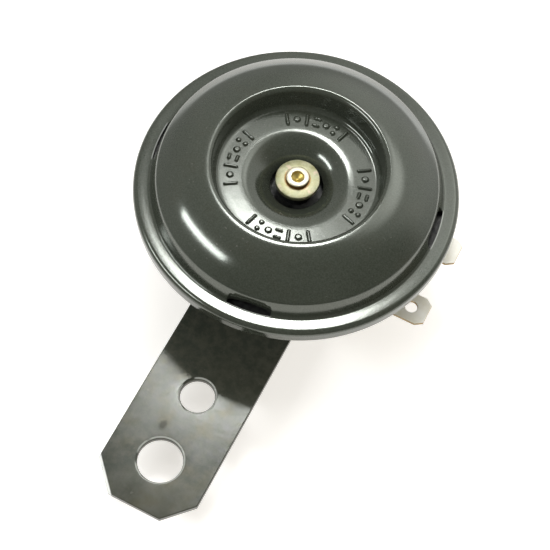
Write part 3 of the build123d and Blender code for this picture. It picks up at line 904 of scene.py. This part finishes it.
def winding_copper(name):
    """Enamelled wire: fine turns round the coil."""
    n = material_nodes(name)
    turns = n.add("ShaderNodeTexWave", {"Vector": n.place}, bands_direction="Z")
    turns.inputs["Scale"].default_value = 900.0
    colour = n.mix(turns.outputs["Fac"], (0.30, 0.09, 0.03), (0.62, 0.25, 0.09))
    return n.surface(colour, 0.35, 0.8, n.bump(turns.outputs["Fac"], 0.6, 0.00005))


def floor_material():
    """Pale table top that keeps the shadows and reads as white."""
    n = material_nodes("table")
    path = n.add("ShaderNodeLightPath")
    diffuse = n.add("ShaderNodeBsdfDiffuse")
    n.put(diffuse.inputs["Color"], (0.79, 0.783, 0.775))
    glow = n.add("ShaderNodeEmission")
    n.put(glow.inputs["Color"], (1.0, 0.965, 0.905))
    seen = path.outputs["Is Camera Ray"]
    for kind in ("Is Glossy Ray", "Is Transmission Ray"):
        seen = n.math("MAXIMUM", seen, path.outputs[kind])
    n.put(glow.inputs["Strength"], n.math("MULTIPLY", seen, table_glow))
    both = n.add("ShaderNodeAddShader", {0: diffuse.outputs[0], 1: glow.outputs[0]})
    n.put(n.out.inputs["Surface"], both.outputs[0])
    return n.owner


# Stage


def make_floor():
    """Pale sheet under the nut's face, with round corners."""
    bm = bmesh.new()
    count = 12
    verts = []
    for quarter in range(4):
        middle = (quarter + 0.5) * math.pi / 2
        cx = math.copysign(table_reach - table_corner, math.cos(middle))
        cy = math.copysign(table_reach - table_corner, math.sin(middle)) + table_centre_y
        for k in range(count + 1):
            angle = (quarter + k / count) * math.pi / 2
            x, y = cx + table_corner * math.cos(angle), cy + table_corner * math.sin(angle)
            verts.append(bm.verts.new((x, y, floor_level)))
    bm.faces.new(verts)
    table = new_object("table", bm)
    table.data.materials.append(floor_material())


def room_side(azimuth, elevation):
    """Unit vector towards a place in the room, its azimuth rightwards from straight beyond the horn."""
    turn = math.radians(azimuth + camera_azimuth)
    lift = math.radians(elevation)
    return Vector((math.sin(turn) * math.cos(lift), math.cos(turn) * math.cos(lift), math.sin(lift)))


def make_world():
    """Pale room, dimmer on the side the camera stands, brighter beyond and to the right."""
    world = bpy.data.worlds.new("room")
    bpy.context.scene.world = world
    n = Nodes(world, "ShaderNodeOutputWorld", "Generated")
    path = n.add("ShaderNodeLightPath")

    def towards(azimuth, elevation, outer, inner, low, high):
        """Smooth change from low outside one angle round a place in the room to high inside another."""
        dot = n.add("ShaderNodeVectorMath", {0: n.place}, operation="DOT_PRODUCT")
        dot.inputs[1].default_value = room_side(azimuth, elevation)
        start, end = (math.cos(math.radians(angle)) for angle in (outer, inner))
        return n.step(dot.outputs["Value"], start, end, low, high)

    bright_wall = towards(45.0, 28.0, 50.0, 12.0, 0.43, 1.05)
    camera_side = towards(175.0, 40.0, 84.0, 32.0, 1.0, 0.26)
    dim_right = towards(112.0, 28.0, 34.0, 12.0, 1.0, 0.5)
    high_patch = towards(38.0, 58.0, 18.0, 6.0, 1.0, 3.3)
    straight_beyond = towards(-10.0, 30.0, 40.0, 12.0, 1.0, 1.25)
    below_table = towards(0.0, -90.0, 84.0, 78.0, 1.0, 4.0)
    level = bright_wall
    for part in (camera_side, dim_right, high_patch, straight_beyond, below_table):
        level = n.math("MULTIPLY", level, part)
    strength = n.add("ShaderNodeMix", {0: path.outputs["Is Camera Ray"], 2: level}, data_type="FLOAT")
    strength.inputs[3].default_value = 1.0
    seen = n.add("ShaderNodeBackground", {"Strength": strength.outputs[0]})
    n.put(seen.inputs["Color"], (1.0, 1.0, 1.0))
    soft = n.add("ShaderNodeBackground")
    n.put(soft.inputs["Color"], (1.0, 0.965, 0.91))
    n.put(soft.inputs["Strength"], room_fill)
    either = n.math("MAXIMUM", path.outputs["Is Camera Ray"], path.outputs["Is Glossy Ray"])
    either = n.math("MAXIMUM", either, path.outputs["Is Transmission Ray"])
    mix = n.add("ShaderNodeMixShader", {0: either, 1: soft.outputs[0], 2: seen.outputs[0]})
    n.put(n.out.inputs["Surface"], mix.outputs[0])


def lamp(name, azimuth, elevation, size, radiance, colour, along=Vector((0.0, 0.0, 1.0)), mirrored=True):
    """Area lamp of a given radiance; along is where its long side runs towards, and mirrored is whether
    glossy surfaces show it."""
    data = bpy.data.lights.new(name, "AREA")
    data.shape = "RECTANGLE"
    data.size, data.size_y = size
    data.energy = 4.0 * size[0] * size[1] * radiance
    data.color = colour
    obj = bpy.data.objects.new(name, data)
    bpy.context.scene.collection.objects.link(obj)
    outward = room_side(azimuth, elevation)
    side = (along - outward * along.dot(outward)).normalized()
    turn = Matrix((side, outward.cross(side), outward)).transposed().to_4x4()
    target = Vector((0.0, axis_y * MM, cover_flange * MM))
    obj.matrix_world = Matrix.Translation(target + outward * lamp_distance) @ turn
    obj.visible_glossy = mirrored


def make_camera():
    """Camera solved from the photo."""
    data = bpy.data.cameras.new("camera")
    data.lens = camera_lens
    data.sensor_width = 36.0
    data.clip_start = 0.01
    data.clip_end = 20.0
    camera = bpy.data.objects.new("camera", data)
    bpy.context.scene.collection.objects.link(camera)
    azimuth = math.radians(camera_azimuth)
    level = math.cos(math.radians(camera_elevation))
    drop = math.sin(math.radians(camera_elevation))
    forward = Vector((math.sin(azimuth) * level, math.cos(azimuth) * level, -drop))
    turn = forward.to_track_quat("-Z", "Y").to_matrix().to_4x4()
    roll = Matrix.Rotation(math.radians(camera_roll), 4, "Z")
    camera.matrix_world = Matrix.Translation(camera_place) @ turn @ roll
    bpy.context.scene.camera = camera


make_camera()
make_world()
make_floor()
lamp("window", -106.0, 41.0, (0.60, 0.13), 14.5, (0.95, 0.98, 1.0), along=room_side(-129.0, 46.0))
lamp("ceiling", -1.5, 66.3, (0.155, 0.18), 25.0, (0.98, 0.98, 1.0))
lamp("ceiling_soft", -1.8, 68.0, (0.8, 0.8), 2.05, (1.0, 1.0, 1.0), mirrored=False)
lamp("near_soft", 128.0, 36.0, (0.7, 0.7), 2.4, (1.0, 0.985, 0.95), mirrored=False)

bpy.context.scene.view_settings.view_transform = "Standard"

cover_coat = black_coat("cover_coat", 0.112, 1.75, slots=True)
bracket_coat = bracket_coat_with_highlights("bracket_coat")
housing_coat = black_coat("housing_coat", 0.2, 1.6)
gold = yellow_zinc("yellow_zinc")
tin = tinned_tab("tin")
zinc = plain_metal("zinc", (0.50, 0.51, 0.53), (0.70, 0.71, 0.73), 0.3)
iron = plain_metal("iron", (0.30, 0.30, 0.31), (0.45, 0.45, 0.46), 0.4)
spring_steel = plain_metal("spring_steel", (0.040, 0.041, 0.040), (0.085, 0.085, 0.080), 0.5, 900.0)
brass = plain_metal("contact_brass", (0.58, 0.42, 0.18), (0.78, 0.62, 0.32), 0.3)
bakelite = plain_solid("bakelite", (0.10, 0.035, 0.016), (0.19, 0.075, 0.035), 0.38)
nylon = plain_solid("bobbin_nylon", (0.62, 0.58, 0.48), (0.74, 0.70, 0.60), 0.45)
paper = plain_solid("gasket_paper", (0.085, 0.085, 0.078), (0.150, 0.145, 0.130), 0.85)
copper = winding_copper("winding_copper")

make_cover(cover_coat)
make_marks(cover_coat)
make_bracket(bracket_coat)
make_housing(housing_coat)
make_stem(gold)
make_stem_washer(gold)
for node in ("spade_terminal_coil", "spade_terminal_breaker"):
    make_terminal(node, tin)

material_of_slot = {
    "black_steel": cover_coat,
    "bracket_steel": bracket_coat,
    "yellow_zinc": gold,
    "tin": tin,
    "zinc": zinc,
    "iron": iron,
    "spring_steel": spring_steel,
    "gasket": paper,
    "bobbin": nylon,
    "winding": copper,
    "insulator": bakelite,
    "contact_brass": brass,
}
for row in frame["record"]["subparts"]:
    carried = frame["nodes"][row["node"]]
    carried.data.materials.clear()
    carried.data.materials.append(material_of_slot[row["material_slot"]])
    smooth(carried, 30.0)
